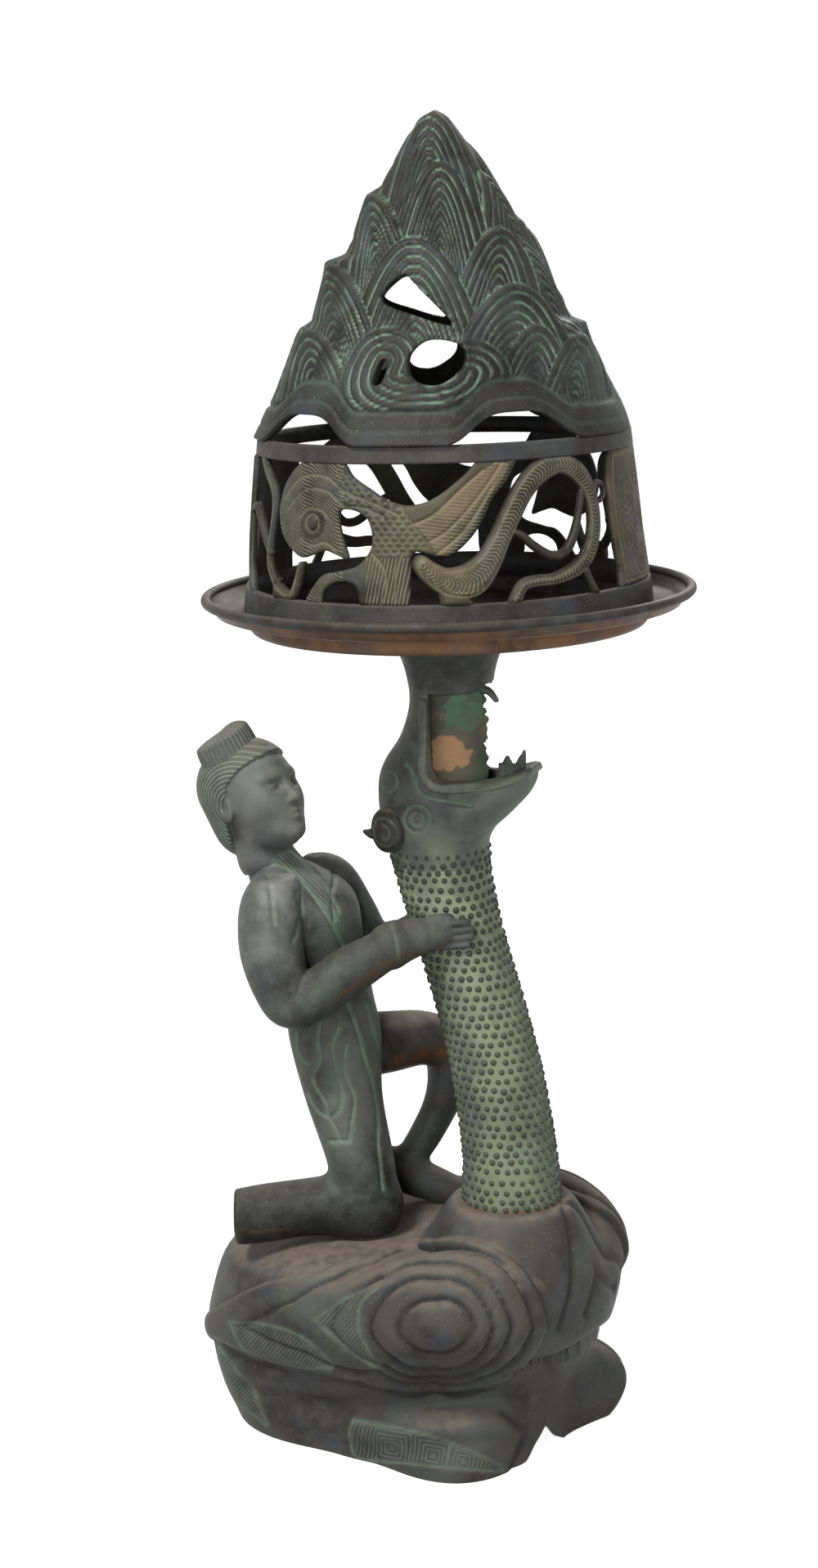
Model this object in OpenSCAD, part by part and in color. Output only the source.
// Bronze hill censer: a beast carries a kneeling figure and a dragon's neck, whose open jaws
// hold a rolled-rim tray, and an openwork hill-shaped cover lifts off the tray.

/* [Beast] */
// Height of the beast's back above the floor
back_h = 94; // [86:1:104]
// Length of the beast from chest to tail
beast_len = 197; // [190:1:214]
// Width of the beast across its shoulders
beast_w = 156; // [144:1:168]
// Thickness of the beast's cast wall
beast_wall = 4; // [3:0.5:6]
// Height of the arch between the front feet
foot_arch_h = 12; // [8:1:18]
// Height of the seat of the neck above the beast's back
seat_h = 21; // [14:1:26]

/* [Column] */
// Height of the tray's underside above the floor
stand_h = 377; // [360:1:396]
// Radius of the dragon's neck at its middle
neck_r = 20; // [18:0.5:22]
// Thickness of the walls of the neck and the head
column_wall = 3; // [2.5:0.25:4]
// Height of the dragon's head with its collar
head_h = 109; // [104:1:114]
// Radius of the collar under the tray
collar_r = 28; // [26:0.5:32]
// Outer radius of the throat pipe between the jaws
throat_r = 16; // [14.5:0.5:16]
// Thickness of the throat pipe
throat_wall = 2; // [1.5:0.25:3]

/* [Tray] */
// Diameter of the tray over its rolled rim
tray_d = 220; // [212:1:236]
// Thickness of the tray sheet
tray_sheet = 1.8; // [1.2:0.1:2.6]
// Inside diameter of the tray's well
well_d = 174; // [160:1:176]
// Depth from the brim to the underside of the well
tray_depth = 10; // [7:0.5:14]
// Rise of the rolled rim's centre above the brim
rim_rise = 5; // [3:0.5:9]
// Thickness of the rolled rim
rim_d = 4.4; // [4:0.1:6]
// Diameter of the wire inside the rolled rim
rim_wire_d = 2.4; // [1.8:0.1:2.6]
// Diameter of the rivet that holds the tray
rivet_d = 6; // [4:0.5:8]

/* [Cover] */
// Diameter of the cover at its foot
cover_d = 182; // [180:1:188]
// Diameter of the cover at the top of its belt
belt_d = 163.6; // [156:0.2:172]
// Thickness of the cover's walls
cover_wall = 2.8; // [2.2:0.2:3.6]
// Height of the plain foot ring
ring_h = 11.5; // [8:0.5:16]
// Height of the openwork frieze
frieze_h = 57.2; // [52:0.2:62]
// Height of the belt over the frieze
belt_h = 7.4; // [5:0.2:10]
// Height of the hill above the belt
hill_h = 136; // [120:1:150]
// Height of the arched openings under the wavy edge of the hill
wave_h = 12; // [8:0.5:16]

/* [Fits] */
// Gap that filler metal closes between two brazed castings
braze_gap = 0.25; // [0.15:0.05:0.4]
// Clearance of the rivet and the rim wire in their holes
hole_clearance = 0.1; // [0.05:0.05:0.2]

/* [Hidden] */
$fn = 96;

bronze = [0.23, 0.25, 0.22];
verdigris = [0.40, 0.48, 0.38];
copper = [0.36, 0.20, 0.13];

// Smooth value through the rows of a list, at row number u
function through(rows, u) =
    let (n = len(rows) - 1, i = min(floor(u), n - 1), t = u - i)
    let (a = rows[max(i - 1, 0)], b = rows[i], c = rows[i + 1], d = rows[min(i + 2, n)])
    b + t / 2 * (c - a + t * (2 * a - 5 * b + 4 * c - d + t * (3 * (b - c) + d - a)));
function smooth(rows, steps) = [for (k = [0:steps]) through(rows, k * (len(rows) - 1) / steps)];
// Closed smooth outline through a ring of points
function outline(points, steps) =
    let (n = len(points), ring = concat([points[n - 1]], points, [points[0], points[1]]))
    [for (i = [1:n], k = [0:steps - 1]) through([for (m = [i - 1:i + 2]) ring[m]], 1 + k / steps)];
// Hump of height 1 that falls to 0 at a distance of 1
function hump(x) = abs(x) < 1 ? (1 + cos(180 * x)) / 2 : 0;
function unit(v) = v / norm(v);
function mean(points) = [for (p = points) 1] * points / len(points);
function flat(lists) = [for (part = lists) each part];

// Level oval ring of a row [x, y, z, half length, half width], turned about Z
function oval(row, turn, grow, sides) = [for (j = [0:sides - 1])
    let (a = (row[3] + grow) * cos(360 * j / sides), b = (row[4] + grow) * sin(360 * j / sides))
    [row[0] + a * cos(turn) - b * sin(turn), row[1] + a * sin(turn) + b * cos(turn), row[2]]];
function ovals(rows, steps, turn = 0, grow = 0, sides = 28) =
    [for (row = smooth(rows, steps)) oval(row, turn, grow, sides)];
// Rings square to a path of rows [x, y, z, half width along side, half width across it]
function limb(rows, steps, side, grow = 0, sides = 18) =
    let (path = smooth(rows, steps), place = [for (row = path) [row[0], row[1], row[2]]])
    [for (k = [0:steps])
        let (along = unit(place[min(k + 1, steps)] - place[max(k - 1, 0)]))
        let (s = unit(side - along * (side * along)), w = cross(along, s))
        [for (j = [0:sides - 1]) place[k] + s * (path[k][3] + grow) * cos(360 * j / sides)
            + w * (path[k][4] + grow) * sin(360 * j / sides)]];

// Faces between neighbouring rings, turned over for an inner wall
function wall_faces(n, rings, first, inner) = [for (i = [0:rings - 2], j = [0:n - 1])
    let (a = first + i * n + j, b = first + i * n + (j + 1) % n)
    each inner ? [[a, b, b + n], [a, b + n, a + n]] : [[a, a + n, b + n], [a, b + n, b]]];
// Fan from a middle point to a ring
function fan(n, first, middle, over) = [for (j = [0:n - 1])
    over ? [first + (j + 1) % n, first + j, middle] : [first + j, first + (j + 1) % n, middle]];
// Flat or wavy edge between an outer and an inner ring
function edge_faces(n, outer, inner, over) = [for (j = [0:n - 1])
    let (k = (j + 1) % n)
    each over ? [[outer + k, outer + j, inner + j], [outer + k, inner + j, inner + k]]
        : [[outer + j, outer + k, inner + k], [outer + j, inner + k, inner + j]]];

// Solid with rounded or flat ends from its rings
module solid(rings) {
    n = len(rings[0]);
    m = len(rings);
    polyhedron(concat(flat(rings), [mean(rings[0]), mean(rings[m - 1])]),
        concat(wall_faces(n, m, 0, false), fan(n, 0, n * m, false), fan(n, n * (m - 1), n * m + 1, true)));
}

// Pipe that is open at both ends
module pipe(outer, inner) {
    n = len(outer[0]);
    m = len(outer);
    k = len(inner);
    polyhedron(concat(flat(outer), flat(inner)),
        concat(wall_faces(n, m, 0, false), wall_faces(n, k, n * m, true),
            edge_faces(n, 0, n * m, false), edge_faces(n, n * (m - 1), n * (m + k - 1), true)));
}

// Dome that is open at its first rings and closed at its last ones
module dome(outer, inner) {
    n = len(outer[0]);
    m = len(outer);
    k = len(inner);
    top = n * (m + k);
    polyhedron(concat(flat(outer), flat(inner), [mean(outer[m - 1]), mean(inner[k - 1])]),
        concat(wall_faces(n, m, 0, false), wall_faces(n, k, n * m, true), edge_faces(n, 0, n * m, false),
            fan(n, n * (m - 1), top, true), fan(n, n * (m + k - 1), top + 1, false)));
}

// Beast: an oval body, turned towards the viewer, with feet, shoulders and a seat for the neck
beast_turn = -28;
beast_centre = [-22, 0];
chest_share = 0.48;
// Feet: angle, reach, half angle, height of the middle and half height
feet = [[28, 25, 30, 12, 36], [-50, 15, 38, 6, 38], [150, 14, 40, 16, 44], [-148, 22, 46, 20, 48]];
shoulder_angle = 50;
shoulder_half_angle = 46;
shoulder_bulge = 12;
bulge_share = 0.84;
bulge_reach = 38;
shoulder_rise = 15;
shoulder_share = 0.88;
shoulder_fade = 0.45;
rear_drop = 8;
rear_half_angle = 75;
rear_fade = 0.45;
arch_rise = 42;
arch_angle = -14;
arch_half_angle = 12;
// Share of the plan's radius and share of the back's height, from the floor to the top
beast_profile = [[0.79, 0], [0.77, 0.1], [0.79, 0.25], [0.87, 0.42], [0.97, 0.57], [1, 0.7], [0.98, 0.81],
    [0.92, 0.9], [0.8, 0.955], [0.62, 0.985], [0.42, 0.995], [0.2, 1], [0.07, 1]];
beast_steps = 17;
beast_sides = 48;
seat_row = [21, -26];
seat_fall = 20;
seat_z = back_h + seat_h;
seat_r = neck_r + 5;
slope_step = 0.25;
smallest_r = 0.5;

function beast_radius(angle) =
    let (reach = cos(angle) > 0 ? beast_len * chest_share : beast_len * (1 - chest_share))
    1 / norm([cos(angle) / reach, 2 * sin(angle) / beast_w]);
function turn_off(a, b) = (a - b + 540) % 360 - 180;
function shoulder_hump(angle) = hump((abs(turn_off(angle, 0)) - shoulder_angle) / shoulder_half_angle);
function beast_swell(angle, z) =
    max([for (f = feet) f[1] * hump(turn_off(angle, f[0]) / f[2]) * hump((z - f[3]) / f[4])])
    + shoulder_bulge * hump((z - bulge_share * back_h) / bulge_reach) * shoulder_hump(angle);
function arch_lift(angle, z) = z < arch_rise
    ? foot_arch_h * hump(turn_off(angle, arch_angle) / arch_half_angle) * (1 - z / arch_rise) : 0;
function seat_share(p) =
    let (d = norm([p[0], p[1]] - seat_row) - seat_r)
    d < 0 ? 1 : hump(d / seat_fall);
// Rise of the shoulders and fall of the rump
function ledge_lift(row, angle) = min(1, 2 * row[1])
    * (shoulder_rise * shoulder_hump(angle) * hump((row[0] - shoulder_share) / shoulder_fade)
        - rear_drop * hump(turn_off(angle, 180) / rear_half_angle) * hump((row[0] - 1) / rear_fade));
// Reach and height of the beast's surface before its seat is raised
function beast_reach(u, angle) =
    let (row = through(beast_profile, u), z = row[1] * back_h + ledge_lift(row, angle))
    [row[0] * beast_radius(angle) + beast_swell(angle, z), z + arch_lift(angle, z)];
// Point of the beast's surface at row number u, set in by a wall that is square to it
function beast_point(u, angle, wall) =
    let (p = beast_reach(u, angle), a = beast_reach(max(u - slope_step, 0), angle))
    let (b = beast_reach(min(u + slope_step, len(beast_profile) - 1), angle))
    let (along = u > 0 ? unit(b - a) : [0, 1])
    let (r = max(p[0] - wall * along[1], smallest_r), low = p[1] + wall * along[0])
    let (x = beast_centre[0] + r * cos(angle + beast_turn), y = beast_centre[1] + r * sin(angle + beast_turn))
    let (top = low > back_h / 2 ? seat_share([x, y]) : 0)
    [x, y, low + top * (seat_z - wall - low)];
function beast_rings(wall) = [for (k = [0:beast_steps])
    let (u = k * (len(beast_profile) - 1) / beast_steps)
    [for (j = [0:beast_sides - 1]) beast_point(u, 360 * j / beast_sides, wall)]];

// The tray's axis stands where the whole censer is centred on the frame's origin
tail_reach = -min([for (ring = beast_rings(0), p = ring) p[0]]);
axis_x = (tail_reach - tray_d / 2) / 2;
module placed() { translate([axis_x, 0, 0]) children(); }

// Neck: level ovals between its seat and the head, leaning back to the tray's axis
head_turn = -20;
head_z = stand_h - head_h;
function head_place(p) = [p * cos(head_turn), p * sin(head_turn)];
skull_set = -7;
neck_top = head_place(skull_set);
neck_top_r = neck_r + 2;
// Share of the neck's height, place in plan and extra radius
neck_line = [[0, 21, -26, 2.5], [0.14, 20.6, -24, 1.2], [0.36, 16.5, -18, 0.5], [0.57, 9.6, -11, 0],
    [0.78, 0.8, -4, 0.2], [0.9, -3.6, 0, 1], [1, neck_top[0], neck_top[1], 2]];
function neck_rows(grow) = [for (row = neck_line)
    [row[1], row[2], seat_z + row[0] * (head_z - seat_z), neck_r + row[3] + grow, neck_r + row[3] + grow]];

module dragon_neck() color(verdigris) placed()
    pipe(ovals(neck_rows(0), 14), ovals(neck_rows(-column_wall), 14));

module beast_body() color(bronze) placed()
    difference() {
        dome(beast_rings(0), beast_rings(beast_wall));
        translate([seat_row[0], seat_row[1], seat_z - 2 * beast_wall])
            cylinder(r = neck_r - column_wall, h = 4 * beast_wall);
    }

// Head: drop from the collar's top as drawn, set along the head, half length and half width
drawn_head_h = 109;
function drop(d) = d * head_h / drawn_head_h;
collar_flare = collar_r - neck_r;
head_line = [[drawn_head_h, skull_set, 2, 2], [97, -8, 3.6, 3.2], [84, -9, 5.6, 4.6], [71, -8.5, 6, 4],
    [62, -7, 4.4, 2.4], [50, -3, 0.5, 0.5], [36, 0, -1, -0.6], [24, 0, -0.4, 0], [12, 0, 2.6, 2.6],
    [0, 0, collar_flare, collar_flare]];
function head_rows(grow) = [for (row = head_line)
    [row[1], 0, stand_h - drop(row[0]), neck_r + row[2] + grow, neck_r + row[3] + grow]];
lip_drop = drop(68);
lip_z = stand_h - lip_drop;
mouth_back = -11;
mouth_top_drop = drop(26);
mouth_floor = 4;
web_h = 4;
// Lower jaw: set along the head, drop of its middle, half width and half height
jaw_line = [[-12, 86, 20, 12], [8, 84, 21, 16], [21, 77, 18.5, 13.5], [30, 71.5, 15.5, 10.5],
    [35.5, 68.5, 12, 7.5], [38, 67, 8, 4.5]];
scoop_line = [[2, 63, 12, 5], [12, 63, 14.5, 7], [24, 62.5, 13, 8], [33, 60, 8, 3.5]];
function jaw_rows(line) = [for (row = line) [row[0], 0, stand_h - drop(row[1]), row[2], row[3]]];
cut_reach = 60;

module head_outside(grow = 0) solid(ovals(head_rows(grow), 20, 0, 0, 32));
module head_turned() placed() rotate(head_turn) children();

module dragon_head() color(bronze) head_turned()
    difference() {
        union() {
            difference() {
                head_outside();
                translate([mouth_back, -cut_reach, lip_z])
                    cube([2 * cut_reach, 2 * cut_reach, lip_drop - mouth_top_drop]);
            }
            solid(limb(jaw_rows(jaw_line), 14, [0, 1, 0], 0, 24));
        }
        // Hollow of the head under the mouth's floor, open to the neck
        intersection() {
            head_outside(-column_wall);
            translate([-cut_reach, -cut_reach, head_z - 1])
                cube([2 * cut_reach, 2 * cut_reach, lip_z - mouth_floor - head_z + 1]);
        }
        translate([skull_set, 0, head_z - 1])
            cylinder(r = neck_top_r - column_wall, h = 2);
        // Mouth between its floor and the collar's web
        translate([0, 0, lip_z])
            cylinder(r = throat_r + braze_gap, h = lip_drop - web_h);
        solid(limb(jaw_rows(scoop_line), 12, [0, 1, 0], 0, 20));
        translate([0, 0, stand_h - web_h - 1])
            cylinder(d = rivet_d + 2 * hole_clearance, h = web_h + 2);
    }

// Throat pipe: stands on the mouth's floor, torn open at the front, and enters the collar
throat_open = 112;
throat_grip = 10;
module throat_pipe() color(verdigris) head_turned()
    translate([0, 0, lip_z])
        rotate(throat_open / 2)
            rotate_extrude(angle = 360 - throat_open)
                translate([throat_r - throat_wall, 0])
                    square([throat_wall, lip_drop - mouth_top_drop + throat_grip]);

module on_head() color(bronze) head_turned()
    difference() {
        children();
        head_outside(braze_gap);
    }

horn_drop = drop(95);
horn_rows = [[-26, -9, 0, 6, 6], [-32.5, -11.2, 0.5, 4.5, 4.5], [-36, -12.4, 0, 2.5, 2.5],
    [-39.5, -13.5, 1.2, 0.6, 0.6]];
module horn() on_head()
    difference() {
        solid(limb([for (row = horn_rows) row + [0, 0, stand_h - horn_drop, 0, 0]], 8, [0, 0, 1], 0, 16));
        ear(braze_gap);
    }

ear_drop = drop(91);
ear_rows = [[-20, -14, 0, 9, 8], [-25, -22.5, 0, 11, 9], [-26.5, -26, 0, 9.5, 7.5],
    [-27.2, -27.5, 0, 4, 3]];
module ear(grow = 0)
    solid(limb([for (row = ear_rows) row + [0, 0, stand_h - ear_drop, 0, 0]], 8, [0, 0, 1], grow, 20));
module near_ear() on_head() ear();
module far_ear() on_head() mirror([0, 1, 0]) ear();

// Figure: rows stand on the beast's back, their zero height, and rise with the neck that the hands hold
drawn_rise = 174;
figure_rise = (head_z - back_h) / drawn_rise;
function on_back(rows) = [for (row = rows) [row[0], row[1], back_h + row[2] * figure_rise, row[3], row[4]]];
robe_turn = -12;
robe_rows = [[-47, -8, 2, 14, 15], [-47, -8, 14, 16, 17], [-48, -6, 32, 15.5, 17], [-55, -2, 64, 18, 19],
    [-58, 2, 92, 21.5, 21], [-60, 3, 112, 20, 22], [-65, 4, 136, 21.5, 26], [-71, 4, 154, 23, 28],
    [-76, 4, 165, 19, 24], [-83, 3, 173, 12, 13], [-87, 3, 181, 9.5, 9.5]];
shin_rows = [[-42, -11, 13, 13, 13], [-58, -12, 14, 14, 14], [-76, -13, 14, 13.5, 14],
    [-92, -14, 13, 13.5, 13.5], [-103, -15, 10, 13, 12.5], [-107.5, -15, 9, 9, 8]];
head_rows_up = [[-87, 3, 181, 9.5, 9.5], [-84.5, 3, 189, 13, 14.5], [-84.5, 3, 198, 16.5, 20],
    [-88.5, 3, 210, 19, 24], [-91.5, 3, 221, 18, 22], [-94.5, 3, 230, 13, 16], [-96.5, 3, 234.5, 5, 6]];
knot_rows = [[-96, 3, 224, 12, 11], [-100, 3, 230, 14, 13.5], [-103, 3, 237, 13, 12.5],
    [-104, 3, 239.5, 7, 6.5]];
near_arm_rows = [[-82, -16, 166, 11, 11], [-84, -22, 158, 13, 13.5], [-84, -27, 142, 13, 13.5],
    [-80, -30, 126, 12, 12.5], [-75, -32, 119, 11.5, 12], [-64, -32, 123, 11, 11.5], [-52, -31, 131, 11, 11.3],
    [-38, -30, 139, 9.5, 10], [-27, -29, 145.5, 8.5, 9], [-15, -26, 147, 8.5, 9.5], [-3, -24, 148, 6, 9],
    [3, -24, 148, 3, 6]];
far_arm_rows = [[-64, 20, 164, 11, 11], [-58, 26, 158, 13, 13], [-50, 30, 142, 13, 13], [-42, 32, 128, 12, 12],
    [-30, 31, 127, 10, 10.5], [-15, 25, 134, 8.5, 10], [-4, 20, 140, 6, 9], [1, 18, 142, 3, 5]];
thigh_rows = [[-50, 12, 83, 15, 16], [-34, 20, 82, 14, 15], [-17, 27, 81, 12, 13.5], [-6, 30, 74, 11.5, 12.5],
    [-5, 30, 60, 10, 11.5], [-10, 29.5, 46, 8, 9], [-17, 28.5, 33, 7.5, 8], [-24, 27.5, 22, 7, 7.5],
    [-27, 27, 14, 7, 7.5]];
foot_rows = [[-35, 26, 25, 5, 4], [-30, 26, 22, 7.5, 8], [-17, 25, 12, 8.5, 6.5], [-4, 24, 3, 8, 5],
    [1, 24, 0, 5, 3]];
across = [0, 1, 0];
upward = [0, 0, 1];

module robe(grow) solid(ovals(on_back(robe_rows), 22, robe_turn, grow, 26));
module beast_outside() solid(beast_rings(-braze_gap));
module neck_outside() solid(ovals(neck_rows(braze_gap), 14));
// A casting of the figure, cut back from what it is brazed to
module figure_piece() color(bronze) placed()
    difference() {
        children(0);
        children([1:$children - 1]);
    }

module figure_body() figure_piece() {
    union() {
        robe(0);
        solid(limb(on_back(shin_rows), 12, across));
    }
    beast_outside();
}
module figure_head() figure_piece() {
    solid(limb(on_back(head_rows_up), 14, across, 0, 24));
    robe(braze_gap);
}
module topknot() figure_piece() {
    solid(limb(on_back(knot_rows), 8, across, 0, 20));
    solid(limb(on_back(head_rows_up), 14, across, braze_gap, 24));
}
module near_arm() figure_piece() {
    solid(limb(on_back(near_arm_rows), 22, upward));
    robe(braze_gap);
    neck_outside();
}
module far_arm() figure_piece() {
    solid(limb(on_back(far_arm_rows), 18, upward));
    robe(braze_gap);
    neck_outside();
}
module raised_leg() figure_piece() {
    union() {
        solid(limb(on_back(thigh_rows), 18, across));
        solid(limb(on_back(foot_rows), 10, across));
    }
    robe(braze_gap);
    neck_outside();
    beast_outside();
}

// Tray: spun sheet with a flat well, a flat brim and an edge rolled round a wire
brim_z = stand_h + tray_depth;
rim_z = brim_z + rim_rise;
rim_cr = tray_d / 2 - rim_d / 2;
well_r = well_d / 2;
brim_r = rim_cr - rim_rise;
rim_slit = 0.8;

module tray() color(copper) placed()
    difference() {
        rotate_extrude() {
            polygon([[0, stand_h], [well_r + tray_sheet, stand_h], [well_r + tray_sheet, brim_z - tray_sheet],
                [brim_r, brim_z - tray_sheet], [rim_cr, rim_z - tray_sheet], [rim_cr, rim_z],
                [brim_r, brim_z], [well_r, brim_z], [well_r, stand_h + tray_sheet], [0, stand_h + tray_sheet]]);
            translate([rim_cr, rim_z])
                circle(d = rim_d);
        }
        rotate_extrude() {
            translate([rim_cr, rim_z])
                circle(d = rim_wire_d + 2 * hole_clearance);
            translate([rim_cr + rim_slit / 2, rim_z - rim_d])
                square([rim_slit, rim_d]);
        }
        translate([0, 0, stand_h - 1])
            cylinder(d = rivet_d + 2 * hole_clearance, h = tray_sheet + 2);
    }

module rim_wire() color(copper) placed()
    rotate_extrude()
        translate([rim_cr, rim_z])
            circle(d = rim_wire_d);

// Rivet: a low head in the well and a tail set over a washer under the collar's web
rivet_head_d = 2.2 * rivet_d;
rivet_head_h = 2;
washer_d = 2.6 * rivet_d;
washer_h = 1.5;
module tray_rivet() color(copper) placed() {
    translate([0, 0, stand_h + tray_sheet])
        cylinder(d1 = rivet_head_d, d2 = 0.7 * rivet_head_d, h = rivet_head_h);
    translate([0, 0, stand_h - web_h - washer_h])
        cylinder(d = rivet_d, h = web_h + washer_h + tray_sheet);
    translate([0, 0, stand_h - web_h - washer_h - rivet_head_h])
        cylinder(d1 = 0.7 * rivet_head_d, d2 = 0.9 * rivet_head_d, h = rivet_head_h);
}
module rivet_washer() color(copper) placed()
    translate([0, 0, stand_h - web_h - washer_h])
        difference() {
            cylinder(d = washer_d, h = washer_h);
            translate([0, 0, -1])
                cylinder(d = rivet_d + 2 * hole_clearance, h = washer_h + 2);
        }

// Cover: one cone from its foot to the top of its belt, standing on the brim
belt_z = brim_z + ring_h + frieze_h;
hill_z = belt_z + belt_h;
function cone_r(z) = (cover_d + (belt_d - cover_d) * (z - brim_z) / (hill_z - brim_z)) / 2;
module cone_band(low, high)
    rotate_extrude()
        polygon([[cone_r(low), low], [cone_r(high), high],
            [cone_r(high) - cover_wall, high], [cone_r(low) - cover_wall, low]]);

module cover_ring() color(bronze) placed() cone_band(brim_z, brim_z + ring_h);
module cover_belt() color(bronze) placed() cone_band(belt_z, hill_z);

// Frieze: flat outlines, in millimetres round the cone and up from the foot ring, cut out of the cone
drawn_r = 87;
drawn_frieze_h = 57.2;
drawn_cover_d = 182;
drawn_belt_d = 163.6;
function on_panel(p, middle) =
    let (h = p[1] * frieze_h / drawn_frieze_h, share = (ring_h + h) / (hill_z - brim_z))
    let (d = cover_d + (belt_d - cover_d) * share)
    let (drawn_d = drawn_cover_d + (drawn_belt_d - drawn_cover_d) * share)
    [drawn_r * d / drawn_d * sin(p[0] * 180 / PI / drawn_r - middle), h];
// Strip of changing half width along a smooth line of rows [place, height, half width]
function strip(rows, steps) =
    let (line = smooth(rows, steps))
    let (sides = [for (k = [0:steps])
        let (run = line[min(k + 1, steps)] - line[max(k - 1, 0)])
        let (out = unit([-run[1], run[0]]) * line[k][2])
        [[line[k][0], line[k][1]] + out, [line[k][0], line[k][1]] - out]])
    concat([for (s = sides) s[0]], [for (k = [steps:-1:0]) sides[k][1]]);
module panel(turn, middle)
    color(bronze) placed()
        intersection() {
            cone_band(brim_z + ring_h, belt_z);
            rotate(turn + middle)
                translate([0, 0, brim_z + ring_h])
                    rotate([90, 0, 0])
                        linear_extrude(height = cover_d)
                            children();
        }
module cut_shape(points, middle) polygon([for (p = points) on_panel(p, middle)]);

bird_middle = -20;
bird_points = [[-85, 39], [-80, 49], [-68, 58], [-49.5, 59], [-42.5, 52], [-34.5, 47], [-27, 42.5], [-18, 40.5],
    [-7.5, 43.5], [4, 52], [12.5, 60], [25, 60], [22, 50.5], [15.5, 42], [12, 34], [7, 26.5], [0, 20.5],
    [-7, 20], [-15.5, 21.5], [-17, 12], [-19, -2], [-37, -2], [-40.5, 7], [-48.5, 9], [-56, 5.5],
    [-59, -2], [-68, -2],
    [-58.5, 10.5], [-50, 13], [-40, 16], [-34, 23], [-33.5, 29.5], [-36, 35.5], [-42, 38.5], [-48.5, 38],
    [-48.5, 31.5], [-46.5, 25], [-44.5, 18.5], [-50, 20], [-56, 21.5], [-62, 19.5], [-69, 18], [-75.5, 20.5],
    [-81.5, 25], [-85, 31.5]];
module bird(turn) panel(turn, bird_middle) cut_shape(outline(bird_points, 3), bird_middle);

dragon_middle = 22;
dragon_rows = [[-12, 16.5, 4], [-8, 12.5, 5], [-1.5, 9, 6], [7.5, 9.5, 7], [15, 16, 5.5], [21, 25.5, 4.5],
    [27, 36, 4.5], [33, 45, 4.5], [41, 52, 4.8], [52, 54.6, 4.2], [62, 49, 4.5], [67.5, 39.5, 4],
    [68.5, 28.5, 4], [65, 18.5, 4], [58.5, 12, 3.5], [50.5, 9, 3], [43.5, 7.5, 2.5], [36.5, 7.5, 2.5],
    [29.5, 6, 2.5], [25, -2, 3]];
crescent_rows = [[26, 29, 1.4], [31, 26.5, 1.6], [36, 22, 1.8], [43.5, 17.5, 2], [50.5, 18, 2],
    [56, 24.5, 2], [60, 34.5, 1.6], [62, 42, 1.5]];
claw_rows = [[60, 12, 2], [64, 4, 2], [68, -3, 2.4]];
belly_rows = [[-2, 6, 4], [2, -3, 7]];
curl_rows = [[69.5, 40, 1.5], [71, 44.4, 1.4], [75.3, 44, 1.3], [76.4, 39.7, 1.2], [73.2, 37.4, 1.1]];
module dragon(turn) panel(turn, dragon_middle) {
    cut_shape(strip(dragon_rows, 66), dragon_middle);
    cut_shape(strip(crescent_rows, 24), dragon_middle);
    cut_shape(strip(claw_rows, 6), dragon_middle);
    cut_shape(strip(belly_rows, 3), dragon_middle);
    cut_shape(strip(curl_rows, 16), dragon_middle);
}

plate_middle = 70;
plate_points = [[87.5, 57], [96, 62], [108, 64], [124, 62], [126, 44], [122, 22], [124, -5], [87, -5],
    [84.2, 8], [82.8, 20], [82.4, 34], [83.8, 46]];
module plate(turn) panel(turn, plate_middle) cut_shape(outline(plate_points, 3), plate_middle);

scroll_middle = -68;
scroll_strips = [
    [[-114, 62, 2.4], [-102.5, 52, 2.2], [-94.5, 45, 2], [-92.2, 37.5, 1.8], [-93, 29.5, 1.6], [-94, 21.5, 1.6],
        [-93.5, 13.5, 1.6], [-87, 6, 1.8], [-79, 1.5, 2], [-74, 2, 2], [-71.5, 8, 1.7], [-70, 15, 1.3]],
    [[-131, 62, 2.4], [-128, 40, 2], [-124, 24, 2], [-117, 8, 2], [-110, -4, 2.4]],
    [[-86, 6, 2], [-84, -4, 3]],
    [[-127, 33, 1.6], [-117, 36, 1.6], [-106, 30, 1.8], [-98, 22, 1.6], [-93.5, 18, 1.5]]];
module scroll(turn) panel(turn, scroll_middle)
    for (rows = scroll_strips)
        cut_shape(strip(rows, 4 * len(rows)), scroll_middle);

module front_scroll() scroll(0);
module front_bird() bird(0);
module front_dragon() dragon(0);
module right_plate() plate(0);
module rear_scroll() scroll(180);
module rear_bird() bird(180);
module rear_dragon() dragon(180);
module left_plate() plate(180);

// Hill: five like sectors of overlapping peaks, on feet between wavy arches
sectors = 5;
hill_sides = 10 * sectors;
hill_steps = 18;
hill_inner_steps = 7;
hill_phase = -14;
hill_curve = 0.85;
wave_foot_share = 0.3;
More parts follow.
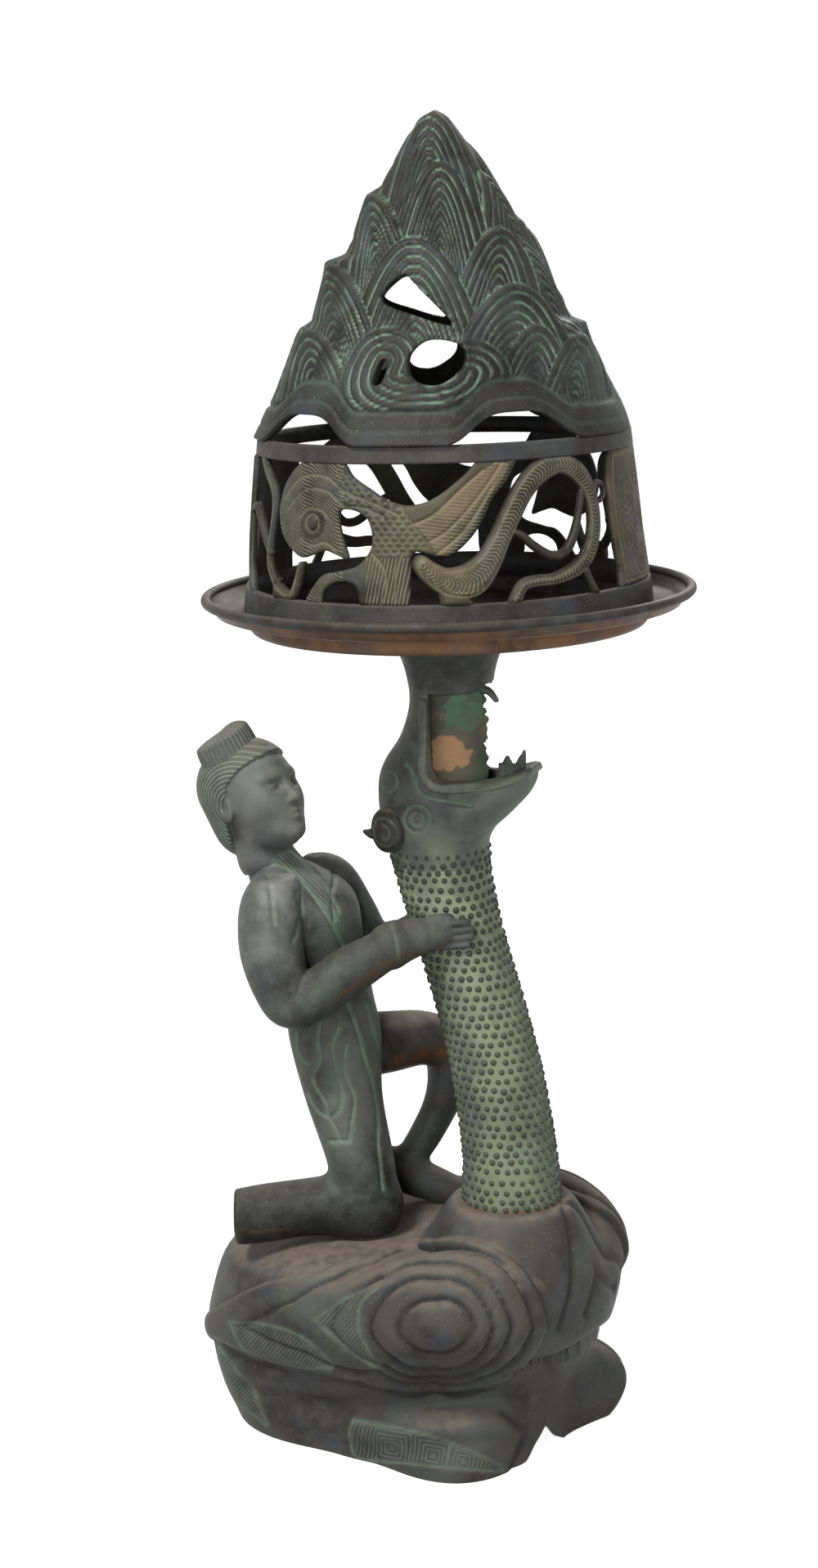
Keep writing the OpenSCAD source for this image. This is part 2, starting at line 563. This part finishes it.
// Columns of peaks: place in the sector, height shares of foot and tip, half angle, rise
peaks = [[0, 0.14, 0.37, 30, 4], [0, 0.32, 0.6, 33, 4.5], [0, 0.55, 0.8, 36, 4],
    [36, 0.1, 0.3, 26, 3.5], [36, 0.22, 0.47, 27, 4.5], [36, 0.42, 0.66, 30, 4.5], [36, 0.62, 0.9, 36, 3]];
function peak_rise(angle, t, k) =
    let (v = (t - k[1]) / (k[2] - k[1]))
    v < 0 || v > 1 ? 0 :
    let (u = turn_off(angle * sectors, k[0] * sectors) / sectors / (k[3] * sqrt(1.02 - v * v)))
    abs(u) > 1 ? 0 : k[4] * (0.3 + 0.7 * v) * (1 - u * u * u * u);
function wave_share(angle) = max(0, (1 - cos(angle * sectors)) / 2 - wave_foot_share) / (1 - wave_foot_share);
function hill_point(angle, s, wall) =
    let (low = wave_h * wave_share(angle), z = low + s * (hill_h - low), t = min(z / hill_h, 1))
    let (r = belt_d / 2 * pow(1 - t + 0.02 * t, hill_curve) - wall
        + (wall > 0 ? 0 : hump(s / 0.12) * 1.2 + max([for (k = peaks) peak_rise(angle, t, k)])))
    [r * sin(angle + hill_phase), -r * cos(angle + hill_phase), hill_z + z];
function hill_rings(wall, steps, top) = [for (k = [0:steps])
    [for (j = [0:hill_sides - 1]) hill_point(360 * j / hill_sides, top * k / steps, wall)]];
// Openings for smoke at the front, and the same behind in line with them, as points of angle and height share
vents = [[[-16, 0.43], [-6, 0.5], [3, 0.46], [18, 0.35], [1.5, 0.38]],
    [[1, 0.26], [8, 0.305], [20, 0.29], [21, 0.23], [12, 0.175], [3, 0.19]],
    [[-11, 0.18], [-9, 0.25], [-6, 0.24], [-7.5, 0.185]]];
function vent_ring(points, r) = [for (p = points)
    [r * sin(p[0] + hill_phase), -r * cos(p[0] + hill_phase), hill_z + p[1] * hill_h]];
vent_depths = [0.55 * belt_d, 0.2 * belt_d];

module hill() color(bronze) placed()
    difference() {
        dome(hill_rings(0, hill_steps, 1),
            hill_rings(cover_wall, hill_inner_steps, 1 - 5 * cover_wall / hill_h));
        for (behind = [0, 1], points = vents)
            mirror([0, behind, 0])
                solid([for (r = vent_depths) vent_ring(outline(points, 3), r)]);
    }

beast_body();
dragon_neck();
dragon_head();
throat_pipe();
horn();
near_ear();
far_ear();
figure_body();
figure_head();
topknot();
near_arm();
far_arm();
raised_leg();
tray();
rim_wire();
tray_rivet();
rivet_washer();
cover_ring();
front_scroll();
front_bird();
front_dragon();
right_plate();
rear_scroll();
rear_bird();
rear_dragon();
left_plate();
cover_belt();
hill();
